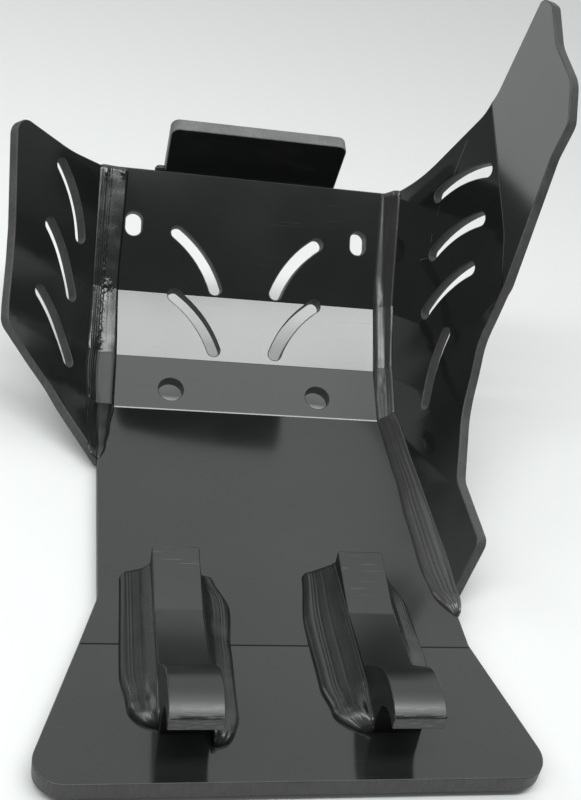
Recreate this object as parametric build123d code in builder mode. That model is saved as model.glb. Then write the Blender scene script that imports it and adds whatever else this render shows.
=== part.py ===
"""Welded plastic skid plate for a motorcycle: a folded plate, side plates, a top tab and frame hooks.

Millimetres. X is to the right when looking forward, Y is forward and Z is up. The origin is the middle of
the belly's underside, so the belly stands on Z = 0.
"""

import os
from math import acos, atan2, cos, degrees, radians, sin, sqrt, tan

from build123d import *

# Sheet stock
plate_thickness = 9.5
side_thickness = 6.35

# Folded plate, from the rear flap to the top of the upright
belly_width = 195.0
belly_length = 206.0
flap_length = 85.0
flap_angle = 2.5
hole_strip_length = 39.0
hole_strip_angle = 27.5
vent_strip_length = 45.5
vent_strip_angle = 42.0
upright_length = 84.0
upright_angle = 52.5
bend_radius = 3.0

# Flared outline of the rear flap, measured from the centre line and from the rear bend
flap_left_reach = 131.0
flap_right_reach = 116.5
flare_left_start = 33.0
flare_right_start = 2.0
flap_corner_radius = 15.0

# Holes through the folded plate
bolt_hole_diameter = 16.5
bolt_hole_spacing = 99.5
bolt_hole_height = 15.5
small_slot_length = 16.5
small_slot_width = 11.0
small_slot_spacing = 157.5
small_slot_height = 46.0
arc_slot_chord = 46.0
long_slot_chord = 51.0
arc_slot_bulge = 3.5
arc_slot_width = 8.5
vent_spacing = 70.0
vent_turn = 53.0
upper_vent_height = 24.0
lower_vent_height = 26.0

# Side plates, splayed outwards from the folded plate's side edges; each reach is back from the upright bend
left_side_height = 99.5
left_side_reach = 131.0
right_side_height = 192.5
right_side_reach = 226.0
side_rake = 38.0
side_bend_radius = 60.0
left_splay = 46.0
right_splay = 74.0
right_tip_splay = 56.0
right_tip_rake = 46.5
right_tip_start = 136.5
right_tip_heel = 55.0

# Top tab on the end of the upright
tab_width = 119.5
tab_length = 39.5
tab_angle = 113.0
tab_corner_radius = 6.0

# Frame hooks, which hold the frame's cross tube down on the flap; setbacks are measured from the rear bend
tube_diameter = 25.4
seat_clearance = 0.3
hook_width = 25.0
left_hook_place = -58.0
right_hook_place = 43.0
hook_front_reach = 51.0
hook_front_height = 20.0
hook_dip_reach = 12.0
hook_dip_height = 12.0
hook_heel_setback = 26.0
hook_heel_height = 15.0
hook_foot_setback = 57.0
lip_radius = 26.0
lip_setback = 61.0
lip_height = 39.5
lip_turn = 35.0

# Weld beads
side_bead_radius = 10.5
left_side_bead_start = 60.0
right_side_bead_start = -66.0
hook_bead_radius = 12.5
hook_bead_tip_radius = 10.0
hook_bead_offset = 4.5
hook_bead_front = 38.0
hook_bead_rear = 47.0
hook_bead_taper = 10.0
tab_bead_radius = 3.5
tab_bead_drop = 1.0
tab_bead_left = 63.0
tab_bead_right = 55.0

# Reach of the cutting shapes, past everything that they cut
cut_reach = 400.0


def heading(angle):
    """Unit vector in the side view, for an angle above the horizontal."""
    return Vector(cos(radians(angle)), sin(radians(angle)))


def folded_corners(folds, start, drops):
    """Corners (y, z) of a folded line from a start, with each fold set its own depth under the line."""
    points = [start]
    for length, angle in folds:
        points.append(points[-1] + heading(angle) * length)
    angles = [angle for _, angle in folds]
    sides = list(zip(angles, drops))
    dropped = []
    for point, (before, near), (after, far) in zip(points, sides[:1] + sides, sides + sides[-1:]):
        middle = (before + after) / 2
        half_turn = radians(after - before) / 2
        slide = (far - near) / (2 * sin(half_turn)) if half_turn else 0
        depth = (far + near) / (2 * cos(half_turn))
        dropped.append(point + heading(middle - 90) * depth + heading(middle) * slide)
    return dropped


rear_bend = Vector(-belly_length / 2, plate_thickness)
front_folds = [
    (hole_strip_length, hole_strip_angle),
    (vent_strip_length, vent_strip_angle),
    (upright_length, upright_angle),
]
plate_folds = [(flap_length, -flap_angle), (belly_length, 0)] + front_folds
plate_start = rear_bend - heading(-flap_angle) * flap_length
top_corners = folded_corners(plate_folds, plate_start, [0] * len(plate_folds))
bottom_corners = folded_corners(plate_folds, plate_start, [plate_thickness] * len(plate_folds))
rear_top, _, front_bend, strip_bend, upright_bend, upright_top = top_corners

# The same folds with the last one run on, for the shapes that cut the pieces beside the plate
long_upright = (upright_length + cut_reach, upright_angle)
long_folds = plate_folds[:-1] + [long_upright]
side_folds = [(belly_length + flap_length, 0)] + front_folds[:-1] + [long_upright]
side_start = rear_bend - Vector(flap_length, 0)
half_width = belly_width / 2


def side_view(x):
    """Plane of the side view at a distance from the centre line: sketch X is forward and sketch Y is up."""
    return Plane(origin=(x, 0, 0), x_dir=(0, 1, 0), z_dir=(1, 0, 0))


def strip_plane(corner, angle):
    """Plane on a strip of the folded plate: sketch X is across it and sketch Y runs up it from a bend."""
    normal = heading(angle + 90)
    return Plane(origin=(0, corner.X, corner.Y), x_dir=(1, 0, 0), z_dir=(0, normal.X, normal.Y))


def splay_direction(side, splay):
    """Direction in which a side plate leaves the folded plate; side is -1 on the left and 1 on the right."""
    lean = heading(side_rake + 90) * sin(radians(splay))
    return Vector(side * cos(radians(splay)), lean.X, lean.Y)


def sheet_plane(side, splay):
    """Plane of a side plate's outline: sketch X runs forward along its rake and sketch Y runs outwards."""
    along = heading(side_rake)
    along = Vector(0, along.X, along.Y)
    origin = (side * half_width, upright_bend.X, upright_bend.Y)
    return Plane(origin=origin, x_dir=along, z_dir=along.cross(splay_direction(side, splay)))


def sheet_drop(thickness, splay, angle):
    """Depth in the side view that gives a splayed sheet its thickness, where its base line is at an angle."""
    skew = sin(radians(splay)) * sin(radians(angle - side_rake))
    return thickness * sqrt(1 - skew**2) / cos(radians(splay))


def under_line(plane, corners, radii, amount, direction=None):
    """Everything under a folded line in the side view, run out to both sides or along a direction."""
    with BuildPart() as under:
        with BuildSketch(plane):
            with BuildLine():
                edge = FilletPolyline(*corners, radius=radii)
                low = edge.position_at(0) - Vector(0, 2 * cut_reach)
                Polyline(edge.position_at(1), (edge.position_at(1).X, low.Y), low, edge.position_at(0))
            make_face()
        extrude(amount=amount, dir=direction, both=direction is None)
    return under.part


def under_side_face(side, splay, thickness=0.0):
    """Everything under a side plate's inner face, or under its outer face if a thickness is given."""
    drops = [sheet_drop(thickness, splay, angle) for _, angle in side_folds]
    corners = folded_corners(side_folds, side_start, drops)
    radii = [side_bend_radius + drop for drop in drops[1:]]
    return under_line(side_view(side * half_width), corners, radii, cut_reach, splay_direction(side, splay))


def under_tip_face(side, splay, thickness=0.0):
    """Everything under the flat face of a side plate's tip, and everything behind the tip's heel."""
    rise = right_tip_start * (sin(radians(right_splay)) - cos(radians(right_splay)) * tan(radians(splay)))
    drop = sheet_drop(thickness, splay, right_tip_rake)
    along = heading(right_tip_rake)
    tip = upright_bend + heading(side_rake + 90) * rise + heading(right_tip_rake - 90) * drop
    heel = tip - along * right_tip_heel
    corners = [heel - Vector(2 * cut_reach, 0), heel, heel + along * 2 * cut_reach]
    return under_line(side_view(side * half_width), corners, [0], cut_reach, splay_direction(side, splay))


def under_plate(thickness, radius):
    """Everything under the folded plate's top face, or under its underside if its thickness is given."""
    corners = folded_corners(long_folds, plate_start, [thickness] * len(long_folds))
    return under_line(Plane.YZ, corners, [0] + [radius] * len(front_folds), cut_reach)


def arc_slots(places, mode=Mode.ADD):
    """Arc slots in the sketch at hand; each place is a middle, a turn and a chord."""
    for x, y, turn, chord in places:
        arc = Edge.make_three_point_arc((-chord / 2, 0), (0, -arc_slot_bulge), (chord / 2, 0))
        with Locations(Location((x, y, 0), (0, 0, turn))):
            SlotArc(arc, arc_slot_width, mode=mode)


def bead(points, radii, open_end=False):
    """Round bar along a line of points, with a ball at each of them, or at all but the last."""
    with BuildPart() as bar:
        for start, end, near, far in zip(points, points[1:], radii, radii[1:]):
            run = end - start
            with BuildSketch(Plane(origin=start, z_dir=run)):
                Circle(near)
            extrude(amount=run.length, taper=degrees(atan2(near - far, run.length)))
        balls = list(zip(points, radii))
        for point, radius in balls[:-1] if open_end else balls:
            with Locations(point):
                Sphere(radius)
    return bar.part


# Folded plate
plate_radii = [0] + [bend_radius] * len(front_folds)
under_radii = [0] + [bend_radius + plate_thickness] * len(front_folds)
flap_end = rear_top.X
vent_places = [(side * vent_spacing / 2, 180 + side * vent_turn) for side in (-1, 1)]

with BuildPart() as main_plate:
    with BuildSketch(Plane.YZ):
        with BuildLine():
            upper = FilletPolyline(*top_corners, radius=plate_radii)
            lower = FilletPolyline(*bottom_corners, radius=under_radii)
            Line(upper.position_at(0), lower.position_at(0))
            Line(upper.position_at(1), lower.position_at(1))
        make_face()
    extrude(amount=max(flap_left_reach, flap_right_reach), both=True)
    with BuildSketch(Plane.XY):
        with BuildLine():
            FilletPolyline(
                (half_width, cut_reach),
                (-half_width, cut_reach),
                (-half_width, rear_bend.X + flare_left_start),
                (-flap_left_reach, flap_end),
                (flap_right_reach, flap_end),
                (half_width, rear_bend.X + flare_right_start),
                radius=[0, 0, 0, flap_corner_radius, flap_corner_radius, 0],
                close=True,
            )
        make_face()
    extrude(amount=cut_reach, both=True, mode=Mode.INTERSECT)
    with BuildSketch(strip_plane(front_bend, hole_strip_angle)):
        with Locations(*[(side * bolt_hole_spacing / 2, bolt_hole_height) for side in (-1, 1)]):
            Circle(bolt_hole_diameter / 2)
    extrude(amount=2 * plate_thickness, both=True, mode=Mode.SUBTRACT)
    with BuildSketch(strip_plane(strip_bend, vent_strip_angle)):
        arc_slots([(x, lower_vent_height, turn, arc_slot_chord) for x, turn in vent_places])
    extrude(amount=2 * plate_thickness, both=True, mode=Mode.SUBTRACT)
    with BuildSketch(strip_plane(upright_bend, upright_angle)):
        arc_slots([(x, upper_vent_height, turn, arc_slot_chord) for x, turn in vent_places])
        with Locations(*[(side * small_slot_spacing / 2, small_slot_height) for side in (-1, 1)]):
            SlotOverall(small_slot_length, small_slot_width, rotation=90)
    extrude(amount=2 * plate_thickness, both=True, mode=Mode.SUBTRACT)

# Side plates: each corner or slot is a place in the sheet, in parts of its reach and its height
below = 4


def side_corners(reach, height, corners):
    """Outline corners in millimetres, each with its corner radius, which is in parts of the height."""
    return [(x * reach, y * height, radius * height) for x, y, radius in corners]


def side_slots(reach, height, slots):
    """Slot places in millimetres, each with its turn and its chord."""
    return [(x * reach, y * height, turn, chord) for x, y, turn, chord in slots]


left_outline = [
    (0.618, -below, 0),
    (0.611, 0.1, 0),
    (0.576, 0.503, 1),
    (0.595, 1, 0.09),
    (0.015, 0.819, 1.2),
    (-0.389, 0.809, 0.1),
    (-0.641, 0.447, 0.4),
    (-1, 0.246, 0),
    (-1, -below, 0),
]
left_slots = [(x, 0.422, 36, arc_slot_chord) for x in (0.336, 0.031, -0.313)]
right_outline = [
    (0.35, -below, 0),
    (0.345, 0.078, 0),
    (0.32, 0.322, 0.78),
    (0.37, 0.728, 0.156),
    (0.615, 0.957, 0.016),
    (0.58, 0.983, 0.031),
    (0.46, 0.973, 0.156),
    (0.345, 1, 0.13),
    (0.23, 0.969, 0.078),
    (0.159, 0.899, 0.156),
    (-0.146, 0.683, 0.104),
    (-0.265, 0.543, 0.208),
    (-0.434, 0.473, 0.312),
    (-0.646, 0.494, 0.073),
    (-0.832, 0.641, 0.036),
    (-1, 0.494, 0),
    (-1, -below, 0),
]
right_slots = [
    (0.217, 0.54, 97, long_slot_chord),
    (0.075, 0.475, 87, long_slot_chord),
    (-0.066, 0.4, 77, long_slot_chord),
    (-0.279, 0.317, 29, arc_slot_chord),
]


def sheet_blank(plane, outline, slots):
    """Tall block with a side plate's outline and arc slots."""
    corners = [(x, y) for x, y, _ in outline]
    radii = [radius for _, _, radius in outline]
    with BuildPart() as blank:
        with BuildSketch(plane):
            with BuildLine():
                FilletPolyline(*corners, radius=radii, close=True)
            make_face()
            arc_slots(slots, Mode.SUBTRACT)
        extrude(amount=cut_reach / 2, both=True)
    return blank.part


plate_underside = under_plate(plate_thickness, bend_radius + plate_thickness)
plate_top = under_plate(0, bend_radius)
left_blank = sheet_blank(
    sheet_plane(-1, left_splay),
    side_corners(left_side_reach, left_side_height, left_outline),
    side_slots(left_side_reach, left_side_height, left_slots),
)
right_blank = sheet_blank(
    sheet_plane(1, right_splay),
    side_corners(right_side_reach, right_side_height, right_outline),
    side_slots(right_side_reach, right_side_height, right_slots),
)

with BuildPart() as left_side_plate:
    add(under_side_face(-1, left_splay))
    add(under_side_face(-1, left_splay, side_thickness), mode=Mode.SUBTRACT)
    add(plate_underside, mode=Mode.SUBTRACT)
    add(left_blank, mode=Mode.INTERSECT)

with BuildPart() as right_inside:
    add(under_side_face(1, right_splay))
    add(under_tip_face(1, right_tip_splay), mode=Mode.INTERSECT)

with BuildPart() as right_back:
    add(under_side_face(1, right_splay, side_thickness))
    add(under_tip_face(1, right_tip_splay, side_thickness), mode=Mode.INTERSECT)

with BuildPart() as right_side_plate:
    add(right_inside.part)
    add(right_back.part, mode=Mode.SUBTRACT)
    add(plate_underside, mode=Mode.SUBTRACT)
    add(right_blank, mode=Mode.INTERSECT)

# Top tab, mitred on to the end of the upright
tab_folds = [(upright_length, upright_angle), (tab_length, tab_angle)]
_, _, tab_inner_end = folded_corners(tab_folds, upright_bend, [0, 0])
_, tab_mitre, tab_outer_end = folded_corners(tab_folds, upright_bend, [plate_thickness] * 2)

with BuildPart() as top_tab:
    with BuildSketch(Plane.YZ):
        with BuildLine():
            Polyline(upright_top, bottom_corners[-1], tab_mitre, tab_outer_end, tab_inner_end, close=True)
        make_face()
    extrude(amount=tab_width / 2, both=True)
    with BuildSketch(strip_plane(upright_top, tab_angle)):
        with BuildLine():
            FilletPolyline(
                (-tab_width / 2, -tab_length),
                (tab_width / 2, -tab_length),
                (tab_width / 2, tab_length),
                (-tab_width / 2, tab_length),
                radius=[0, 0, tab_corner_radius, tab_corner_radius],
                close=True,
            )
        make_face()
    extrude(amount=cut_reach, both=True, mode=Mode.INTERSECT)

# Frame hooks
seat_radius = tube_diameter / 2 + seat_clearance


def flap_top(setback):
    """Point (y, z) on the flap's top face, a distance behind the rear bend."""
    return rear_bend + Vector(-setback, setback * tan(radians(flap_angle)))


seat_setback = hook_foot_setback + seat_radius
seat_centre = flap_top(seat_setback) + Vector(0, seat_radius / cos(radians(flap_angle)))
lip_centre = rear_bend + Vector(-lip_setback, lip_height - lip_radius)
heel = rear_bend + Vector(-hook_heel_setback, hook_heel_height)
to_heel = heel - lip_centre
lip_start_angle = degrees(atan2(to_heel.Y, to_heel.X) + acos(lip_radius / to_heel.length))
lip_end_angle = 90 + lip_turn
lip_end = lip_centre + heading(lip_end_angle) * lip_radius
seat_end_angle = degrees(acos((lip_end.X - seat_centre.X) / seat_radius))


def hook(place):
    """Frame hook standing on the belly and the flap, centred on a place across the plate."""
    with BuildPart() as block:
        with BuildSketch(side_view(place)):
            with BuildLine():
                outer = CenterArc(lip_centre, lip_radius, lip_start_angle, lip_end_angle - lip_start_angle)
                seat = CenterArc(seat_centre, seat_radius, 0, seat_end_angle)
                Polyline(
                    seat.position_at(0),
                    flap_top(hook_foot_setback),
                    rear_bend,
                    rear_bend + Vector(hook_front_reach, 0),
                    rear_bend + Vector(hook_front_reach, hook_front_height),
                    rear_bend + Vector(hook_dip_reach, hook_dip_height),
                    heel,
                    outer.position_at(0),
                )
                Line(outer.position_at(1), seat.position_at(1))
            make_face()
        extrude(amount=hook_width / 2, both=True)
    return block


left_hook = hook(left_hook_place)
right_hook = hook(right_hook_place)


# Weld beads
def side_weld(side, splay, start):
    """Bead in the corner between the folded plate and a side plate, from the belly to the upright's top."""
    line = [Vector(start, plate_thickness), front_bend, strip_bend, upright_bend, upright_top]
    points = [Vector(side * half_width, point.X, point.Y) for point in line]
    with BuildPart() as weld:
        add(bead(points, [side_bead_radius] * len(points), open_end=True))
        add(under_side_face(side, splay), mode=Mode.SUBTRACT)
        add(plate_top, mode=Mode.SUBTRACT)
    return weld


def hook_weld(place, side):
    """Bead along one side of a hook, on the belly and the flap."""
    face = place + side * hook_width / 2
    line = [
        rear_bend + Vector(hook_bead_front, 0),
        rear_bend + Vector(hook_bead_front - hook_bead_taper, 0),
        rear_bend,
        flap_top(hook_bead_rear - hook_bead_taper),
        flap_top(hook_bead_rear),
    ]
    points = [Vector(face + side * hook_bead_offset, point.X, point.Y) for point in line]
    radii = [hook_bead_tip_radius] + [hook_bead_radius] * 3 + [hook_bead_tip_radius]
    with BuildPart() as weld:
        add(bead(points, radii))
        split(bisect_by=Plane.YZ.offset(face), keep=Keep.TOP if side > 0 else Keep.BOTTOM)
        add(plate_top, mode=Mode.SUBTRACT)
    return weld


left_side_weld = side_weld(-1, left_splay, left_side_bead_start)
right_side_weld = side_weld(1, right_splay, right_side_bead_start)
left_hook_left_weld = hook_weld(left_hook_place, -1)
left_hook_right_weld = hook_weld(left_hook_place, 1)
right_hook_left_weld = hook_weld(right_hook_place, -1)
right_hook_right_weld = hook_weld(right_hook_place, 1)

tab_bead_line = upright_top - heading(upright_angle) * tab_bead_drop
with BuildPart() as top_tab_weld:
    ends = [Vector(x, tab_bead_line.X, tab_bead_line.Y) for x in (-tab_bead_left, tab_bead_right)]
    add(bead(ends, [tab_bead_radius] * 2))
    split(bisect_by=strip_plane(upright_top, tab_angle), keep=Keep.TOP)
    add(plate_top, mode=Mode.SUBTRACT)

pieces = {
    "main_plate": main_plate,
    "left_side_plate": left_side_plate,
    "right_side_plate": right_side_plate,
    "top_tab": top_tab,
    "left_hook": left_hook,
    "right_hook": right_hook,
    "left_side_weld": left_side_weld,
    "right_side_weld": right_side_weld,
    "top_tab_weld": top_tab_weld,
    "left_hook_left_weld": left_hook_left_weld,
    "left_hook_right_weld": left_hook_right_weld,
    "right_hook_left_weld": right_hook_left_weld,
    "right_hook_right_weld": right_hook_right_weld,
}
os.makedirs("parts", exist_ok=True)
for name, piece in pieces.items():
    piece.part.label = name
    export_step(piece.part, f"parts/{name}.step")
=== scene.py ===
"""Looks of the welded plastic skid plate: dressed sheets and hooks, drawn weld beads, studio and camera.

Metres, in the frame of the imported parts: X is to the right, Y is forward and Z is up
from the belly's underside.
"""

from dataclasses import dataclass
from math import cos, exp, radians, sin, sqrt

import bmesh
import bpy
from mathutils import Matrix, Vector, noise
from mathutils.bvhtree import BVHTree


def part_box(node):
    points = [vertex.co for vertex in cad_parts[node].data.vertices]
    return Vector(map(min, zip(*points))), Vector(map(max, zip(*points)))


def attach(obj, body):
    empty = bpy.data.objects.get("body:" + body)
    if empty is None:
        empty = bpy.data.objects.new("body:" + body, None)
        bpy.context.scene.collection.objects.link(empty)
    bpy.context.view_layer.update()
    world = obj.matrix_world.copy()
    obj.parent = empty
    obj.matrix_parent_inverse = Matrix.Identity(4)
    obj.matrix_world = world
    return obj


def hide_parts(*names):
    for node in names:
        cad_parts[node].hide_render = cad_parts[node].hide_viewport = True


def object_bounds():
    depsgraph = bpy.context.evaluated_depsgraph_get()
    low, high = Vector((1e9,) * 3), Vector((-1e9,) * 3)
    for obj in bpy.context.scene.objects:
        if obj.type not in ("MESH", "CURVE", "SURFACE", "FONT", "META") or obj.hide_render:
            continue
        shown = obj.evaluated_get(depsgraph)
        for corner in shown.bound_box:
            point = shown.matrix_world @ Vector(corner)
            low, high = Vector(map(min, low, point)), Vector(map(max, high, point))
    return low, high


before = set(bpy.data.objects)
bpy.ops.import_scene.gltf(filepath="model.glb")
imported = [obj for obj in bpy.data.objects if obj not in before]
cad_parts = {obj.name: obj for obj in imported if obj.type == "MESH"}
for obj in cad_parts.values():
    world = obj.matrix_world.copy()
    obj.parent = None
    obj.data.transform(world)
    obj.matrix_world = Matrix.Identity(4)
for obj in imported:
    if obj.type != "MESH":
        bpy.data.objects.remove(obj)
cad_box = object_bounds()
mm = 0.001

# Camera of the photograph
camera_place = Vector((-0.1279, -0.4915, 0.4204))
camera_yaw = 14.7
camera_pitch = 32.9
camera_roll = -11.5
camera_lens = 49.77

# Sheet stock and the rounding of its edges
plate_half_width = 97.5 * mm
plate_thickness = 9.5 * mm
side_thickness = 6.35 * mm
merge_distance = 0.002 * mm
level_angle = radians(0.2)
edge_radius = 0.7 * mm
edge_steps = 2
least_corner = radians(22)
least_fold = radians(13)
least_fold_area = 20 * mm * mm

# Places on the folded plate, in the side view
rear_bend_y = -103 * mm
front_bend_y = 103 * mm
strip_bend_y = 137.6 * mm
upright_bend_y = 171.4 * mm
upright_top_y = 222.5 * mm

# Scored lines at the bends: (y, half width, depth) or (y, width before, width after, depth)
bend_scores = [
    (rear_bend_y, 0.5 * mm, 0.45 * mm),
    (strip_bend_y, 0.6 * mm, 0.25 * mm),
    (upright_bend_y, 0.6 * mm, 0.2 * mm),
]
bend_grooves = [(front_bend_y, 0.45 * mm, 0.62 * mm, 0.17 * mm)]
row_near = 0.001 * mm
least_upward = 0.5

# Sections of the beads and their relief; a scale says how fast a noise changes along a metre
section_steps = 60
curve_steps = 12
bead_sink = 0.5 * mm
bead_sharp_angle = radians(55)
least_lift = 0.35
lift_change = 0.07
lift_scale = 22
line_drift = 0.018
line_drift_scale = 14
line_scale = 22
uneven_height = 0.1 * mm
uneven_scale = 120
pit_place = 0.6
pit_spread = 0.09
pit_scale = 650
lump_scale = 700
toe_fade = 8

# Refraction of every surface, and the range that most of a noise keeps to
surface_ior = 1.6
noise_span = (0.3, 0.7)


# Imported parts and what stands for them
def tree_of(node):
    """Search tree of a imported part's faces."""
    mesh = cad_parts[node].data
    return BVHTree.FromPolygons([v.co for v in mesh.vertices], [p.vertices for p in mesh.polygons])


def hit(tree, start, direction):
    """Place and normal where a ray first meets a part, or None; the normal is turned against the ray."""
    place, normal, _, _ = tree.ray_cast(Vector(start), Vector(direction))
    if place is None:
        return None
    if normal.dot(Vector(direction)) > 0:
        normal = -normal
    return place, normal


def under(tree, x, y):
    """Place and normal of the face of a part that is seen from above."""
    return hit(tree, (x, y, 1), (0, 0, -1))


def meet_plane(start, direction, place, normal):
    """Place where a ray meets the plane through a place."""
    return start + direction * ((place - start).dot(normal) / direction.dot(normal))


def new_piece(name, mesh, node):
    """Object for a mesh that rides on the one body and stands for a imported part."""
    piece = bpy.data.objects.new(name, mesh)
    bpy.context.scene.collection.objects.link(piece)
    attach(piece, "root")
    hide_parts(node)
    return piece


# Sheets and hooks
def cut_rows(bm, y, offsets):
    """Rows of edges across a part, at offsets from a place along it."""
    for offset in offsets:
        geometry = bm.verts[:] + bm.edges[:] + bm.faces[:]
        place = (0, y + offset, 0)
        bmesh.ops.bisect_plane(bm, geom=geometry, plane_co=place, plane_no=(0, 1, 0), dist=row_near)
    bm.normal_update()


def score(bm, y, half_width, depth):
    """Shallow scored line across the upper face of the folded plate, at a bend."""
    cut_rows(bm, y, (-half_width, 0, half_width))
    near = 0.01 * mm
    for vert in bm.verts:
        tops = [face.normal for face in vert.link_faces if face.normal.z > least_upward]
        if tops and abs(vert.co.y - y) < near:
            vert.co -= sum(tops, Vector()).normalized() * depth
    for face in bm.faces:
        in_line = max(abs(vert.co.y - y) for vert in face.verts) < half_width + depth
        if in_line and face.normal.z > 0:
            face.smooth = False


def groove(bm, y, before, after, depth):
    """Straight-sided groove across the upper face, where a level face ends at a rounded bend.

    Its widths are before and after the bend, and its bottom lies a depth under the level face.
    """
    cut_rows(bm, y, (-before, 0, after))
    band = [vert for vert in bm.verts if y - before - row_near < vert.co.y < y + after + row_near]
    band = [vert for vert in band if any(face.normal.z > least_upward for face in vert.link_faces)]
    tops = {}
    for vert in band:
        row = round(vert.co.y / row_near)
        tops[row] = max(tops.get(row, vert.co.z), vert.co.z)
    start = tops[min(tops)]
    end = tops[max(tops)]
    bottom = start - depth
    for vert in band:
        top = tops[round(vert.co.y / row_near)]
        if vert.co.y < y:
            goal = bottom + (start - bottom) * (y - vert.co.y) / before
        else:
            goal = bottom + (end - bottom) * (vert.co.y - y) / after
        vert.co.z += goal - top
    bm.normal_update()
    inside = set(band)
    for face in bm.faces:
        if face.normal.z > 0 and inside.issuperset(face.verts):
            face.smooth = False


def is_corner(edge):
    """Whether two faces of a part meet at an outer corner."""
    return edge.is_convex and edge.calc_face_angle() > least_corner


def is_fold(edge):
    """Whether two broad faces of a sheet meet at a slight fold."""
    broad = min(face.calc_area() for face in edge.link_faces) > least_fold_area
    return broad and least_fold < edge.calc_face_angle() <= least_corner


def mark_cut_faces(bm, thickness):
    """Second material on each face with no other face of the sheet level with it, a thickness behind."""
    tree = BVHTree.FromBMesh(bm)
    step = 0.01 * mm
    deepest = 1.35 * thickness
    least_level = 0.95
    widest = {}
    for loops in bm.calc_loop_triangles():
        a, b, c = (loop.vert.co for loop in loops)
        area = (b - a).cross(c - a).length
        if area > widest.get(loops[0].face, (0, None))[0]:
            widest[loops[0].face] = (area, (a + b + c) / 3)
    for face, (_, middle) in widest.items():
        start = middle - face.normal * step
        _, normal, _, depth = tree.ray_cast(start, -face.normal)
        if depth is None or depth > deepest or abs(normal.dot(face.normal)) < least_level:
            face.material_index = 1


def dressed_part(node, materials, thickness=None, scores=(), grooves=()):
    """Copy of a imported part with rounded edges; faces across the sheet take the second material.

    Scores are (y, half width, depth) of the scored lines along its bends, and grooves are
    (y, width before, width after, depth).
    """
    bm = bmesh.new()
    bm.from_mesh(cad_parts[node].data)
    bmesh.ops.remove_doubles(bm, verts=bm.verts, dist=merge_distance)
    bmesh.ops.dissolve_limit(bm, angle_limit=level_angle, verts=bm.verts, edges=bm.edges)
    bm.normal_update()
    rounded = [edge for edge in bm.edges if edge.is_manifold and (is_corner(edge) or is_fold(edge))]
    bmesh.ops.bevel(
        bm,
        geom=rounded,
        offset=edge_radius,
        segments=edge_steps,
        profile=0.5,
        affect="EDGES",
        clamp_overlap=False,
    )
    bm.normal_update()
    if thickness:
        mark_cut_faces(bm, thickness)
    for edge in bm.edges:
        edge.smooth = True
    for face in bm.faces:
        face.smooth = True
    for row in scores:
        score(bm, *row)
    for row in grooves:
        groove(bm, *row)
    mesh = bpy.data.meshes.new(node + "_dressed")
    bm.to_mesh(mesh)
    bm.free()
    for material in materials:
        mesh.materials.append(material)
    piece = new_piece(node + "_dressed", mesh, node)
    normals = piece.modifiers.new("flat_faces", "WEIGHTED_NORMAL")
    normals.weight = 100
    normals.keep_sharp = True


# Beads
def smooth_curve(points, count):
    """Smooth curve through points, with a number of steps to each span."""
    ends = [points[0] * 2 - points[1]] + points + [points[-1] * 2 - points[-2]]
    curve = []
    for a, b, c, d in zip(ends, ends[1:], ends[2:], ends[3:]):
        for step in range(count):
            t = step / count
            square = (a * 2 - b * 5 + c * 4 - d) * t * t
            cube = (b * 3 - a - c * 3 + d) * t**3
            curve.append((b * 2 + (c - a) * t + square + cube) / 2)
    return curve + [points[-1].copy()]


def evened(curve, count):
    """Points along a curve, at equal steps of its length."""
    lengths = [0.0]
    for before, after in zip(curve, curve[1:]):
        lengths.append(lengths[-1] + (after - before).length)
    points = []
    index = 0
    for number in range(count + 1):
        at = lengths[-1] * number / count
        while index < len(curve) - 2 and lengths[index + 1] < at:
            index += 1
        span = lengths[index + 1] - lengths[index]
        points.append(curve[index].lerp(curve[index + 1], (at - lengths[index]) / span))
    return points


def between(table, at):
    """Value at a place in a table of (place, value) rows, eased between the rows."""
    if at <= table[0][0]:
        return table[0][1]
    for (start, low), (end, high) in zip(table, table[1:]):
        if at <= end:
            t = (at - start) / (end - start)
            return low + (high - low) * t * t * (3 - 2 * t)
    return table[-1][1]


def smoothed(vectors, reach):
    """Each vector averaged with its neighbours, and set to unit length."""
    result = []
    for index in range(len(vectors)):
        near = vectors[max(0, index - reach) : index + reach + 1]
        result.append(sum(near, Vector()).normalized())
    return result


@dataclass
class Station:
    """One place along a bead: its toes on the plate and on the wall, their normals and their corner."""

    toe: Vector
    floor_normal: Vector
    top: Vector
    wall_normal: Vector
    corner: Vector


def bead_section(station, shape, along, lift):
    """Points across a bead, from its toe on the plate to its toe on the wall.

    A shape's reach is the full distance of the toe from the corner. Its profile rows are (share of the
    reach, height), and its change rows are (along, share of the upper profile). Its fade and edge are
    the place and the thickness of its upper edge.
    """
    up = station.floor_normal
    out = station.wall_normal
    inward = station.corner - station.toe
    reach = inward.length
    inward = (inward - up * inward.dot(up)).normalized()
    rise = station.top - station.corner
    climb = rise.normalized()
    edge = shape["edge"]
    # A bead that reaches less far is lower too
    scale = lift * min(1, least_lift + (1 - least_lift) * reach / shape["reach"])
    share = between(shape["change"], along) if "change" in shape else 0
    controls = [station.toe - up * bead_sink]
    for low, high in zip(shape["profile"], shape.get("upper_profile", shape["profile"])):
        run = low[0] + (high[0] - low[0]) * share
        height = low[1] + (high[1] - low[1]) * share
        controls.append(station.toe + inward * run * reach + up * height * scale)
    brow = 1.5 * edge
    lip = 0.4 * edge
    overlap = 0.2 * mm
    controls += [
        station.top - climb * rise.length * shape["fade"] + out * brow,
        station.top - climb * lip + out * edge,
        station.top - out * bead_sink + climb * overlap,
    ]
    return evened(smooth_curve(controls, curve_steps), section_steps)


def section_normal(section, index, path, station):
    """Direction away from a bead at one point of its section."""
    tangent = section[min(index + 1, section_steps)] - section[max(index - 1, 0)]
    normal = tangent.cross(path).normalized()
    if normal.dot(station.floor_normal + station.wall_normal) < 0:
        return -normal
    return normal


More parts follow.
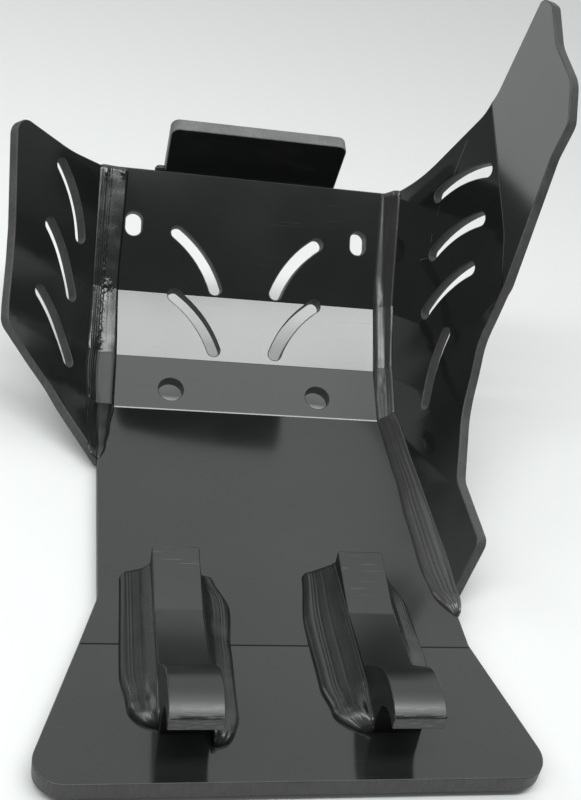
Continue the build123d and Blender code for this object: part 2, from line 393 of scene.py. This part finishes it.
def line_depth(across, along, shape):
    """Depth of the fine drawn lines at a place on a bead; lines are (place across, width, depth)."""
    depth = 0
    for number, (place, width, deep) in enumerate(shape["lines"]):
        drift = line_drift * noise.noise(Vector((along * line_drift_scale, number * 7.3, shape["seed"])))
        strength = 0.65 + 0.6 * noise.noise(Vector((along * line_scale, number * 3.1, shape["seed"] + 5)))
        depth += deep * strength * exp(-(((across - place - drift) / width) ** 2))
    return depth


def bead_relief(point, across, along, shape, marks):
    """Height of the lines, unevenness, pits and lumps at a place on a bead, which fades at its toes.

    A shape's ragged rows are (along, height of the pits).
    """
    height = uneven_height * noise.noise(point * uneven_scale + Vector((0, 0, shape["seed"])))
    height -= line_depth(across, along, shape)
    if "ragged" in shape:
        pitted = exp(-(((across - pit_place) / pit_spread) ** 2))
        height += between(shape["ragged"], along) * pitted * noise.noise(point * pit_scale)
    for mark_along, mark_across, size, spread, lump in marks:
        near = exp(-(((along - mark_along) / size) ** 2) - ((across - mark_across) / spread) ** 2)
        height += lump * near * (0.6 + 0.8 * noise.noise(point * lump_scale))
    return height * min(1, toe_fade * across, toe_fade * (1 - across))


def end_share(along, whole, ends):
    """Share of its full section that a bead has near its rounded ends."""
    share = 1.0
    for distance, (length, least) in zip((along, whole - along), ends):
        if distance < length:
            share *= least + (1 - least) * sqrt(max(0, 1 - (1 - distance / length) ** 2))
    return share


def bead_mesh(name, stations, shape, ends, marks):
    """Closed bead along stations; ends are (length, least share) of the rounded start and end.

    Marks are (along, across, along size, across size, height) of rough lumps, in metres and shares;
    one that is less than nothing along is measured back from the end.
    """
    lengths = [0.0]
    for before, after in zip(stations, stations[1:]):
        lengths.append(lengths[-1] + (after.corner - before.corner).length)
    whole = lengths[-1]
    marks = [(at if at >= 0 else whole + at, *rest) for at, *rest in marks]
    path = stations[-1].corner - stations[0].corner
    bm = bmesh.new()
    rings = []
    for station, along in zip(stations, lengths):
        lift = 1 + lift_change * noise.noise(Vector((along * lift_scale, shape["seed"], 0.5)))
        section = bead_section(station, shape, along, lift)
        root = station.corner - (station.floor_normal + station.wall_normal) * bead_sink
        share = end_share(along, whole, ends)
        ring = []
        for index, point in enumerate(section):
            height = bead_relief(point, index / section_steps, along, shape, marks)
            raised = point + section_normal(section, index, path, station) * height
            ring.append(bm.verts.new(root + (raised - root) * share))
        ring.append(bm.verts.new(root))
        rings.append(ring)
    uv = bm.loops.layers.uv.new("along")
    count = len(rings[0])
    for number, (ring, after) in enumerate(zip(rings, rings[1:])):
        for index in range(count):
            follow = (index + 1) % count
            face = bm.faces.new((ring[index], ring[follow], after[follow], after[index]))
            face.smooth = True
            steps = ((number, index), (number, index + 1), (number + 1, index + 1), (number + 1, index))
            for loop, (row, column) in zip(face.loops, steps):
                loop[uv].uv = (lengths[row], column / count)
    bm.faces.new(rings[0])
    bm.faces.new(rings[-1])
    bmesh.ops.recalc_face_normals(bm, faces=bm.faces)
    mesh = bpy.data.meshes.new(name)
    bm.to_mesh(mesh)
    bm.free()
    mesh.set_sharp_from_angle(angle=bead_sharp_angle)
    return mesh


def make_bead(node, material, stations, shape, ends, marks=()):
    """Bead that stands for a packed weld."""
    mesh = bead_mesh(node + "_drawn", stations, shape, ends, marks)
    mesh.materials.append(material)
    new_piece(node + "_drawn", mesh, node)


def side_stations(side, wing, rows, climbs):
    """Stations up the corner between the folded plate and a side plate.

    Rows are (y, distance of the toe from the centre line); climbs are (y, height of the upper toe).
    """
    plate = tree_of("main_plate")
    wall = tree_of(wing)
    inset = 0.4 * mm
    margin = 0.3 * mm
    look_back = 30 * mm
    neighbours = 4
    step = 1.0 * mm
    least_step = 0.5
    corner_x = side * (plate_half_width - inset)
    last_y = upright_top_y - margin
    end = rows[-1][0]
    ys = [rows[0][0]]
    while ys[-1] < end:
        _, up = under(plate, corner_x, ys[-1] + step / 2)
        ys.append(min(end, ys[-1] + step * max(least_step, up.z)))
    toes = [under(plate, side * between(rows, y), min(y, last_y))[0] for y in ys]
    floors = [under(plate, corner_x, min(y, last_y)) for y in ys]
    corners = [corner for corner, _ in floors]
    ups = smoothed([up for _, up in floors], neighbours)
    outward = Vector((side, 0, 0))
    starts = []
    for y, corner, up in zip(ys, corners, ups):
        starts.append(corner + up * between(climbs, y) - outward * look_back)
    met = [hit(wall, start, outward) for start in starts]
    latest = next(found for found in met if found)
    stations = []
    for start, found, toe, up, corner in zip(starts, met, toes, ups, corners):
        # Past the side plate's edge, its last face carries on
        latest = found or (meet_plane(start, outward, *latest), latest[1])
        stations.append(Station(toe, up, *latest, corner))
    outs = smoothed([station.wall_normal for station in stations], neighbours)
    for station, out in zip(stations, outs):
        station.wall_normal = out
    return stations


def hook_stations(hook, side, rows, climbs):
    """Stations along one side of a hook.

    Rows are (y, distance of the toe from the hook's side); climbs are (y, height of the upper toe).
    """
    plate = tree_of("main_plate")
    low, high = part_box(hook)
    face_x = high.x if side > 0 else low.x
    step = 1.2 * mm
    start, end = rows[0][0], rows[-1][0]
    count = round((end - start) / step)
    stations = []
    for number in range(count + 1):
        y = start + (end - start) * number / count
        corner, up = under(plate, face_x, y)
        toe, _ = under(plate, face_x + side * between(rows, y), y)
        top = corner + Vector((0, 0, between(climbs, y)))
        stations.append(Station(toe, up, top, Vector((side, 0, 0)), corner))
    return stations


def tab_stations(reach, climb):
    """Stations along the corner between the upright and the top tab."""
    below_top = 12 * mm
    look_back = 100 * mm
    low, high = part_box("top_tab_weld")
    tab_low, tab_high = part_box("top_tab")
    middle = (tab_low + tab_high) / 2
    on_plate, up = under(tree_of("main_plate"), middle.x, upright_top_y - below_top)
    on_tab, out = hit(tree_of("top_tab"), (middle.x, middle.y - look_back, middle.z), (0, 1, 0))
    across = Vector((1, 0, 0))
    down = up.cross(across)
    rise = across.cross(out)
    corner = meet_plane(on_plate, down, on_tab, out)
    step = 1.2 * mm
    count = round((high.x - low.x) / step)
    stations = []
    for number in range(count + 1):
        place = corner.copy()
        place.x = low.x + (high.x - low.x) * number / count
        stations.append(Station(place + down * reach, up, place + rise * climb, out, place))
    return stations


# Materials
def add(tree, kind, inputs=None, **settings):
    """New node with its settings and inputs; an input that is a socket is linked."""
    node = tree.nodes.new(kind)
    for name, value in settings.items():
        setattr(node, name, value)
    for name, value in (inputs or {}).items():
        if isinstance(value, bpy.types.NodeSocket):
            tree.links.new(value, node.inputs[name])
        else:
            node.inputs[name].default_value = value
    return node


def maths(tree, operation, first, second):
    """Result of a sum on two values or sockets."""
    return add(tree, "ShaderNodeMath", {0: first, 1: second}, operation=operation).outputs[0]


def vector_maths(tree, operation, first, second):
    """Vector sum on two vectors or sockets, as a node."""
    return add(tree, "ShaderNodeVectorMath", {0: first, 1: second}, operation=operation)


def ranged(tree, value, low, high, start, end, easing="LINEAR"):
    """Value moved from one range to another, and kept inside it."""
    inputs = {"Value": value, "From Min": low, "From Max": high, "To Min": start, "To Max": end}
    return add(tree, "ShaderNodeMapRange", inputs, interpolation_type=easing).outputs["Result"]


def squared(tree, value, low, high):
    """Value that grows from nothing at one place to one at another, slowly at first."""
    return maths(tree, "POWER", ranged(tree, value, low, high, 0, 1), 2)


def noise_at(tree, vector, scale, detail=2.0, stretch=(1, 1, 1), turn=(0, 0, 0)):
    """Noise on a vector that is first turned and stretched."""
    mapping = add(tree, "ShaderNodeMapping", {"Vector": vector, "Scale": stretch, "Rotation": turn})
    inputs = {"Vector": mapping.outputs["Vector"], "Scale": scale, "Detail": detail}
    return add(tree, "ShaderNodeTexNoise", inputs).outputs["Fac"]


def bumped(tree, height, strength, distance):
    """Bump node for a height."""
    return add(tree, "ShaderNodeBump", {"Height": height, "Strength": strength, "Distance": distance})


def tint(tree, share, dark, light):
    """Colour between two, by a share that may pass one."""
    mix = add(tree, "ShaderNodeMix", {"Factor": share}, data_type="RGBA", clamp_factor=False)
    mix.inputs["A"].default_value = (*dark, 1)
    mix.inputs["B"].default_value = (*light, 1)
    return mix.outputs["Result"]


def blank_material(name):
    """Material with only a shader and an output, its tree and its shader node."""
    material = bpy.data.materials.new(name)
    material.use_nodes = True
    shader = material.node_tree.nodes["Principled BSDF"]
    shader.inputs["IOR"].default_value = surface_ior
    return material, material.node_tree, shader


def feed(tree, shader, colour, roughness, bump):
    """Colour, roughness and bump of a shader."""
    tree.links.new(colour, shader.inputs["Base Color"])
    tree.links.new(roughness, shader.inputs["Roughness"])
    tree.links.new(bump.outputs["Normal"], shader.inputs["Normal"])


def fine_scratches(tree, place, turn):
    """Mask of sparse, fine scratches in one direction."""
    lines = noise_at(tree, place, scale=1.0, detail=1.0, stretch=(18, 1500, 900), turn=(0, 0, turn))
    patches = noise_at(tree, place, scale=22.0, detail=2.0)
    thin = ranged(tree, lines, 0.70, 0.76, 0, 1)
    return maths(tree, "MULTIPLY", thin, ranged(tree, patches, 0.48, 0.62, 0, 1))


def scuff_line(tree, place, start, end, width):
    """Mask of one straight scuff between two places."""
    run = end - start
    offset = vector_maths(tree, "SUBTRACT", place, start).outputs["Vector"]
    along = vector_maths(tree, "DOT_PRODUCT", offset, run.normalized()).outputs["Value"]
    along = ranged(tree, along, 0, run.length, 0, run.length)
    nearest = add(tree, "ShaderNodeVectorMath", {0: run.normalized(), "Scale": along}, operation="SCALE")
    gap = vector_maths(tree, "DISTANCE", offset, nearest.outputs["Vector"]).outputs["Value"]
    return ranged(tree, gap, 0.25 * width, 0.6 * width, 1, 0)


def plate_hollow(tree, across, along):
    """Height whose slope bends the reflections of the plate and the tab; no mesh has this height.

    It rises along the belly up to the front bend, and sideways towards both side welds.
    Past the front bend, only the sideways rise goes on.
    """
    front_start = -80 * mm
    front_rise = 10.3 * mm
    left_start, left_end = 20 * mm, -98 * mm
    left_extra = 0.4
    right_start, right_end = 35 * mm, 95 * mm
    right_rise = 4.7 * mm
    fade_start, fade_end = -100 * mm, -20 * mm
    front = maths(tree, "MULTIPLY", squared(tree, along, front_start, front_bend_y), front_rise)
    left = maths(tree, "MULTIPLY", squared(tree, across, left_start, left_end), left_extra)
    front = maths(tree, "MULTIPLY", front, maths(tree, "ADD", left, 1))
    right = maths(tree, "MULTIPLY", squared(tree, across, right_start, right_end), right_rise)
    fade = ranged(tree, along, fade_start, fade_end, 0, 1, "SMOOTHSTEP")
    return maths(tree, "ADD", front, maths(tree, "MULTIPLY", right, fade))


def sheet_look(name, colours, gloss, hollow=None, painted_light=None, scuffs=()):
    """Satin-gloss black sheet with a soft cloudiness and a few fine scratches.

    Colours are the dark and the light one, and gloss is the range of its roughness.
    A hollow gives the height that bends the reflections, from the places across and along.
    Painted light is (start, end, shade): a painted lighter, greyer patch that grows along Y.
    Scuffs are (start, end, width, shade) of single pale lines.
    """
    scratch_shade = 0.9
    scratch_roughness = 0.04
    scratch_depth = 0.8
    least_shade, most_shade = 0.35, 1.6
    material, tree, shader = blank_material(name)
    place = add(tree, "ShaderNodeTexCoord").outputs["Object"]
    parts = add(tree, "ShaderNodeSeparateXYZ", {"Vector": place})
    cloud = noise_at(tree, place, scale=16.0, detail=4.0)
    grain = noise_at(tree, place, scale=1300.0, detail=2.0)
    first_scratches = fine_scratches(tree, place, turn=0.5)
    second_scratches = fine_scratches(tree, place, turn=2.1)
    scratch = maths(tree, "MAXIMUM", first_scratches, second_scratches)
    shade = maths(tree, "ADD", cloud, maths(tree, "MULTIPLY", scratch, scratch_shade))
    shade = ranged(tree, shade, least_shade, most_shade, 0, 1)
    # Painted light: a lighter, greyer colour that grows along Y and stands in for light falling on the
    # sheet
    if painted_light:
        start, end, extra = painted_light
        wear_and_painted_light = ranged(tree, parts.outputs["Y"], start, end, 0, extra, "SMOOTHSTEP")
        wear_and_painted_light = maths(tree, "MULTIPLY", wear_and_painted_light, ranged(tree, cloud, 0.3, 0.6, 0.5, 1))
        shade = maths(tree, "ADD", shade, wear_and_painted_light)
    for start, end, width, extra in scuffs:
        line = scuff_line(tree, place, start, end, width)
        shade = maths(tree, "ADD", shade, maths(tree, "MULTIPLY", line, extra))
    roughness = ranged(tree, cloud, *noise_span, *gloss)
    roughness = maths(tree, "ADD", roughness, maths(tree, "MULTIPLY", scratch, scratch_roughness))
    height = maths(tree, "SUBTRACT", grain, maths(tree, "MULTIPLY", scratch, scratch_depth))
    bump = bumped(tree, height, strength=0.05, distance=0.02 * mm)
    if hollow:
        rise = hollow(tree, parts.outputs["X"], parts.outputs["Y"])
        bow = bumped(tree, rise, strength=1, distance=1)
        tree.links.new(bow.outputs["Normal"], bump.inputs["Normal"])
    feed(tree, shader, tint(tree, shade, *colours), roughness, bump)
    return material


def cut_look(name, dark, light):
    """Sawn and scraped edge of the sheet: greyer and duller than its faces."""
    material, tree, shader = blank_material(name)
    shader.inputs["Specular IOR Level"].default_value = 0.35
    place = add(tree, "ShaderNodeTexCoord").outputs["Object"]
    cloud = noise_at(tree, place, scale=60.0, detail=4.0)
    marks = noise_at(tree, place, scale=900.0, detail=2.0, stretch=(1, 1, 0.15))
    shade = ranged(tree, maths(tree, "MULTIPLY", cloud, marks), 0.1, 0.45, 0, 1)
    roughness = ranged(tree, cloud, *noise_span, 0.45, 0.6)
    bump = bumped(tree, marks, strength=0.2, distance=0.05 * mm)
    feed(tree, shader, tint(tree, shade, dark, light), roughness, bump)
    return material


def bead_look(name, dark, light, gloss):
    """Bead of melted plastic with fine lines drawn along it."""
    material, tree, shader = blank_material(name)
    coordinates = add(tree, "ShaderNodeTexCoord")
    lines = noise_at(tree, coordinates.outputs["UV"], scale=1.0, detail=3.0, stretch=(9, 130, 1))
    cloud = noise_at(tree, coordinates.outputs["Object"], scale=90.0, detail=3.0)
    shade = ranged(tree, lines, *noise_span, 0, 1)
    roughness = ranged(tree, cloud, *noise_span, *gloss)
    bump = bumped(tree, lines, strength=0.25, distance=0.15 * mm)
    feed(tree, shader, tint(tree, shade, dark, light), roughness, bump)
    return material


def hook_look(name, dark, light):
    """Satin black block, scratched across its top and scuffed on its lip."""
    lip_start, lip_end = -172 * mm, -179 * mm
    top_start, top_end = -85 * mm, -60 * mm
    material, tree, shader = blank_material(name)
    place = add(tree, "ShaderNodeTexCoord").outputs["Object"]
    along = add(tree, "ShaderNodeSeparateXYZ", {"Vector": place}).outputs["Y"]
    cloud = noise_at(tree, place, scale=40.0, detail=4.0)
    grain = noise_at(tree, place, scale=1500.0, detail=2.0)
    scuff = noise_at(tree, place, scale=1.0, detail=4.0, stretch=(160, 900, 900))
    on_lip = ranged(tree, along, lip_start, lip_end, 0, 1)
    wear_and_painted_light = maths(tree, "MULTIPLY", ranged(tree, scuff, 0.5, 0.6, 0, 1), on_lip)
    across = noise_at(tree, place, scale=1.0, detail=2.0, stretch=(35, 1400, 600))
    on_top = ranged(tree, along, top_start, top_end, 0, 1)
    scratch = maths(tree, "MULTIPLY", ranged(tree, across, 0.66, 0.70, 0, 1), on_top)
    mark = maths(tree, "MAXIMUM", wear_and_painted_light, scratch)
    roughness = ranged(tree, cloud, *noise_span, 0.27, 0.35)
    roughness = maths(tree, "ADD", roughness, maths(tree, "MULTIPLY", mark, 0.2))
    height = maths(tree, "SUBTRACT", maths(tree, "MULTIPLY", grain, 0.3), mark)
    bump = bumped(tree, height, strength=0.15, distance=0.08 * mm)
    feed(tree, shader, tint(tree, mark, dark, light), roughness, bump)
    return material


# Studio and camera
def pale_floor(reach, gap, pale, grey):
    """Floor just under the object, pale around it and greyer further to the left."""
    level = cad_box[0].z - gap
    corners = [(-reach, -reach), (reach, -reach), (reach, reach), (-reach, reach)]
    mesh = bpy.data.meshes.new("floor")
    mesh.from_pydata([(x, y, level) for x, y in corners], [], [(0, 1, 2, 3)])
    floor = bpy.data.objects.new("floor", mesh)
    bpy.context.scene.collection.objects.link(floor)
    material, tree, shader = blank_material("floor_pale")
    place = add(tree, "ShaderNodeTexCoord").outputs["Object"]
    leftward = (-1, -0.12, 0)
    grey_start, grey_end = 0.2, 0.5
    to_left = vector_maths(tree, "DOT_PRODUCT", place, leftward).outputs["Value"]
    fall = ranged(tree, to_left, grey_start, grey_end, 0, 1, "SMOOTHSTEP")
    tree.links.new(tint(tree, fall, pale, grey), shader.inputs["Base Color"])
    shader.inputs["Roughness"].default_value = 0.9
    shader.inputs["Specular IOR Level"].default_value = 0.1
    mesh.materials.append(material)


def sky(azimuth, elevation):
    """Direction at an azimuth, clockwise from forward, and an elevation."""
    flat = cos(radians(elevation))
    return Vector((flat * sin(radians(azimuth)), flat * cos(radians(azimuth)), sin(radians(elevation))))


def studio_world(colour, base, lobes):
    """World with an even base and soft bright lobes: (axis, outer angle, inner angle, strength)."""
    world = bpy.data.worlds.new("studio")
    bpy.context.scene.world = world
    world.use_nodes = True
    tree = world.node_tree
    direction = add(tree, "ShaderNodeTexCoord").outputs["Generated"]
    total = base
    for axis, outer, inner, strength in lobes:
        dot = vector_maths(tree, "DOT_PRODUCT", direction, axis).outputs["Value"]
        glow = ranged(tree, dot, cos(radians(outer)), cos(radians(inner)), 0, strength, "SMOOTHSTEP")
        total = maths(tree, "ADD", glow, total)
    background = tree.nodes["Background"]
    background.inputs["Color"].default_value = (*colour, 1)
    tree.links.new(total, background.inputs["Strength"])


def panel(name, colour, place, aim, width, height, strength):
    """Rectangular soft light of a given brightness, turned towards a point."""
    lamp = bpy.data.lights.new(name, "AREA")
    lamp.shape = "RECTANGLE"
    lamp.size = width
    lamp.size_y = height
    energy_per_brightness = 4
    lamp.energy = energy_per_brightness * strength * width * height
    lamp.color = colour
    holder = bpy.data.objects.new(name, lamp)
    bpy.context.scene.collection.objects.link(holder)
    holder.location = place
    holder.rotation_mode = "QUATERNION"
    holder.rotation_quaternion = (Vector(aim) - Vector(place)).to_track_quat("-Z", "Y")


def photo_camera():
    """Camera at the photograph's place and angle."""
    yaw, pitch, roll = radians(camera_yaw), radians(camera_pitch), radians(camera_roll)
    forward = Vector((sin(yaw) * cos(pitch), cos(yaw) * cos(pitch), -sin(pitch)))
    level = Vector((cos(yaw), -sin(yaw), 0))
    right = level * cos(roll) + forward.cross(level) * sin(roll)
    up = -forward.cross(right)
    lens = bpy.data.cameras.new("camera")
    lens.lens = camera_lens
    camera = bpy.data.objects.new("camera", lens)
    bpy.context.scene.collection.objects.link(camera)
    turn = Matrix((right, up, -forward)).transposed()
    camera.matrix_world = Matrix.LocRotScale(camera_place, turn, None)
    return camera


# Looks of the sheets, hooks and beads
plate_colours = ((0.011, 0.0115, 0.0115), (0.024, 0.025, 0.025))
side_colours = ((0.011, 0.0115, 0.0115), (0.024, 0.025, 0.0245))
# Painted light on the right side plate's foot: lighter and greyer from 45 mm down to -40 mm along Y
foot_painted_light = (45 * mm, -40 * mm, 2.8)
# Start, end and width in millimetres, and shade
scuff_rows = [
    ((123.8, 161.6, 191.0), (120.2, 159.6, 168.8), 0.8, 5),
    ((122.6, 160.6, 184.5), (121.3, 162.5, 180.5), 0.7, 3),
    ((110.5, 154.4, 107.9), (112.8, 148.5, 112.7), 0.9, 3.5),
    ((114.1, 154.3, 127.6), (113.8, 151.7, 123.0), 1.0, 3),
    ((116.3, 159.0, 146.0), (115.4, 158.0, 139.9), 0.8, 1.8),
]
right_scuffs = []
for start, end, width, shade in scuff_rows:
    right_scuffs.append((Vector(start) * mm, Vector(end) * mm, width * mm, shade))
plate_material = sheet_look("plate_black", plate_colours, gloss=(0.09, 0.13), hollow=plate_hollow)
left_material = sheet_look("left_black", side_colours, gloss=(0.13, 0.17))
right_material = sheet_look(
    "right_black", side_colours, gloss=(0.065, 0.09), painted_light=foot_painted_light, scuffs=right_scuffs
)
cut_material = cut_look("cut_edge_black", (0.032, 0.032, 0.031), (0.076, 0.076, 0.074))
# Painted light: a paler copy of the cut edge for the top tab, whose top edge faces up into the light
painted_light_cut_material = cut_look("cut_edge_painted_light", (0.095, 0.095, 0.093), (0.215, 0.215, 0.21))
hook_material = hook_look("hook_black", (0.0085, 0.009, 0.009), (0.07, 0.072, 0.072))
glossy_bead = bead_look("bead_black", (0.006, 0.0065, 0.0065), (0.011, 0.0115, 0.0115), gloss=(0.13, 0.24))
satin_bead = bead_look("bead_satin", (0.008, 0.0084, 0.0083), (0.017, 0.0177, 0.0175), gloss=(0.2, 0.3))
dull_bead = bead_look("bead_dull", (0.03, 0.0305, 0.0295), (0.055, 0.056, 0.054), gloss=(0.2, 0.3))

# The sheets and hooks themselves
plate_materials = [plate_material, cut_material]
dressed_part("main_plate", plate_materials, plate_thickness, bend_scores, bend_grooves)
dressed_part("left_side_plate", [left_material, cut_material], side_thickness)
dressed_part("right_side_plate", [right_material, cut_material], side_thickness)
# The top tab's cut edges take the paler copy, painted light on its upward top edge
dressed_part("top_tab", [plate_material, painted_light_cut_material], plate_thickness)
dressed_part("left_hook", [hook_material])
dressed_part("right_hook", [hook_material])

# Beads in the corners beside the folded plate
left_rows = [
    (47 * mm, 94.5 * mm),
    (60 * mm, 92 * mm),
    (77 * mm, 89.5 * mm),
    (front_bend_y, 86.4 * mm),
    (strip_bend_y, 85.6 * mm),
    (upright_bend_y, 86.4 * mm),
    (upright_top_y, 84 * mm),
]
left_climbs = [
    (47 * mm, 4.5 * mm),
    (77 * mm, 5.5 * mm),
    (front_bend_y, 7 * mm),
    (125 * mm, 8 * mm),
    (strip_bend_y, 7.5 * mm),
    (upright_bend_y, 6.3 * mm),
    (upright_top_y, 5.6 * mm),
]
left_bead = {
    "reach": 10.8 * mm,
    "profile": [(0.08, 1.5 * mm), (0.25, 2.8 * mm), (0.65, 3.2 * mm), (1.12, 3.6 * mm)],
    "upper_profile": [(0.1, 1.5 * mm), (0.3, 2.2 * mm), (0.66, 3.3 * mm), (0.95, 4.3 * mm)],
    "change": [(88 * mm, 0), (106 * mm, 0.75), (146 * mm, 1)],
    "fade": 0.1,
    "edge": 0.8 * mm,
    "seed": 1.7,
    "ragged": [
        (96 * mm, 0),
        (104 * mm, 0.5 * mm),
        (138 * mm, 0.4 * mm),
        (150 * mm, 0.2 * mm),
        (205 * mm, 0),
    ],
    "lines": [
        (0.4, 0.03, 0.08 * mm),
        (0.57, 0.02, 0.26 * mm),
        (0.64, 0.014, 0.24 * mm),
        (0.73, 0.025, 0.3 * mm),
        (0.8, 0.012, 0.22 * mm),
        (0.88, 0.022, 0.28 * mm),
    ],
}
left_marks = [
    (142 * mm, 0.45, 3.5 * mm, 0.16, 1.1 * mm),
    (-4 * mm, 0.2, 3 * mm, 0.08, 0.9 * mm),
    (-5 * mm, 0.75, 4 * mm, 0.06, 0.7 * mm),
]
left_stations = side_stations(-1, "left_side_plate", left_rows, left_climbs)
left_ends = ((9 * mm, 0.25), (3 * mm, 0.7))
make_bead("left_side_weld", glossy_bead, left_stations, left_bead, left_ends, left_marks)

right_rows = [
    (-80 * mm, 92 * mm),
    (-62 * mm, 86 * mm),
    (-44 * mm, 84.6 * mm),
    (0, 86.1 * mm),
    (39 * mm, 88.7 * mm),
    (front_bend_y, 90.5 * mm),
    (upright_bend_y, 91.6 * mm),
    (upright_top_y, 93.7 * mm),
]
right_climbs = [
    (-80 * mm, 5 * mm),
    (-30 * mm, 7.5 * mm),
    (48 * mm, 8.5 * mm),
    (front_bend_y, 10 * mm),
    (strip_bend_y, 12 * mm),
    (upright_bend_y, 14.5 * mm),
    (upright_top_y, 18 * mm),
]
right_bead = {
    "reach": 6.6 * mm,
    "profile": [(0.1, 1.6 * mm), (0.3, 3.0 * mm), (0.9, 6.4 * mm)],
    "upper_profile": [(0.08, 3.6 * mm), (0.33, 6.8 * mm), (1.05, 7.9 * mm)],
    "change": [(198 * mm, 0), (222 * mm, 1), (266 * mm, 1), (292 * mm, 0)],
    "fade": 0.12,
    "edge": 0.8 * mm,
    "seed": 4.1,
    "lines": [
        (0.34, 0.025, 0.12 * mm),
        (0.48, 0.03, 0.16 * mm),
        (0.62, 0.03, 0.16 * mm),
        (0.78, 0.03, 0.14 * mm),
    ],
}
right_marks = [(-3.5 * mm, 0.8, 3.5 * mm, 0.1, 1.0 * mm), (-3 * mm, 0.4, 2 * mm, 0.16, 0.6 * mm)]
right_stations = side_stations(1, "right_side_plate", right_rows, right_climbs)
right_ends = ((12 * mm, 0.15), (3 * mm, 0.7))
make_bead("right_side_weld", dull_bead, right_stations, right_bead, right_ends, right_marks)

# Bead under the top tab
tab_bead = {
    "reach": 4 * mm,
    "profile": [(0.12, 0.5 * mm), (0.35, 1.0 * mm), (0.75, 1.2 * mm)],
    "fade": 0.3,
    "edge": 0.5 * mm,
    "seed": 6.4,
    "lines": [(0.4, 0.04, 0.16 * mm), (0.62, 0.04, 0.2 * mm)],
}
tab_climb = 2 * mm
tab_edge_stations = tab_stations(tab_bead["reach"], tab_climb)
tab_ends = ((4 * mm, 0.35), (4 * mm, 0.35))
make_bead("top_tab_weld", glossy_bead, tab_edge_stations, tab_bead, tab_ends)

# Beads beside the hooks, by hook and side, with rows in millimetres
hook_bead = {
    "reach": 16 * mm,
    "profile": [(0.05, 2.2 * mm), (0.16, 4.2 * mm), (0.3, 5.0 * mm), (0.68, 6.9 * mm)],
    "fade": 0.12,
    "edge": 0.9 * mm,
    "seed": 2.3,
    "lines": [
        (0.28, 0.014, 0.22 * mm),
        (0.34, 0.012, 0.25 * mm),
        (0.41, 0.014, 0.2 * mm),
        (0.6, 0.02, 0.15 * mm),
    ],
}
seed_step = 3.7
steep_profile = [(0.05, 1.8 * mm), (0.16, 3.2 * mm), (0.3, 4.1 * mm), (0.7, 7.6 * mm)]
hook_climbs = [(-156 * mm, 8 * mm), (-135 * mm, 11.5 * mm), (-75 * mm, 11.5 * mm), (-52 * mm, 11 * mm)]
hook_ends = ((7 * mm, 0.3), (3 * mm, 0.75))
hook_rows = {
    ("left_hook", -1): [(-157, 9), (-145, 14.5), (-125, 17.3), (-54, 16)],
    ("left_hook", 1): [(-168, 9), (-150, 13.5), (-106, 14.5), (-80, 16.5), (-56, 9.5)],
    ("right_hook", -1): [(-161, 9.5), (-148, 17.5), (-132, 20.7), (-90, 21.5), (-50, 17.1)],
    ("right_hook", 1): [(-150, 9), (-112, 14.5), (-77, 14), (-51, 7.5)],
}
hook_profiles = {("right_hook", -1): steep_profile}
hook_marks = {("left_hook", 1): [(4 * mm, 0.5, 6 * mm, 0.25, 1.2 * mm)]}
for number, (place, rows) in enumerate(hook_rows.items()):
    hook, side = place
    node = hook + ("_right_weld" if side > 0 else "_left_weld")
    profile = hook_profiles.get(place, hook_bead["profile"])
    shape = dict(hook_bead, seed=hook_bead["seed"] + seed_step * number, profile=profile)
    rows = [(y * mm, reach * mm) for y, reach in rows]
    stations = hook_stations(hook, side, rows, hook_climbs)
    make_bead(node, satin_bead, stations, shape, hook_ends, hook_marks.get(place, ()))

# The studio itself
light_colour = (0.97, 1.0, 0.99)
key_place = (-0.2, -0.38, 1.20)
key_aim = (-0.2, 0.155, 0.043)
left_place = (-1.15, 0.42, 0.845)
left_aim = (0.15, 0.12, 0.21)
sky_base = 0.14
sky_lobes = [
    (sky(0, 90), 28, 10, 1.2),
    (sky(42, 50), 53, 28, 0.98),
    (sky(-43, 13), 18, 8, 0.4),
    (sky(-66, 4), 8, 4, 0.8),
    (sky(-118, 30), 30, 14, 0.6),
    (sky(128, 42), 20, 9, 0.2),
]
pale_floor(reach=12.0, gap=0.2 * mm, pale=(0.78, 0.78, 0.78), grey=(0.24, 0.24, 0.24))
studio_world(light_colour, sky_base, sky_lobes)
panel("key", light_colour, key_place, key_aim, width=2.0, height=0.19, strength=8.0)
panel("left", light_colour, left_place, left_aim, width=0.85, height=0.51, strength=2.0)
bpy.context.scene.camera = photo_camera()
bpy.context.scene.view_settings.view_transform = "Standard"
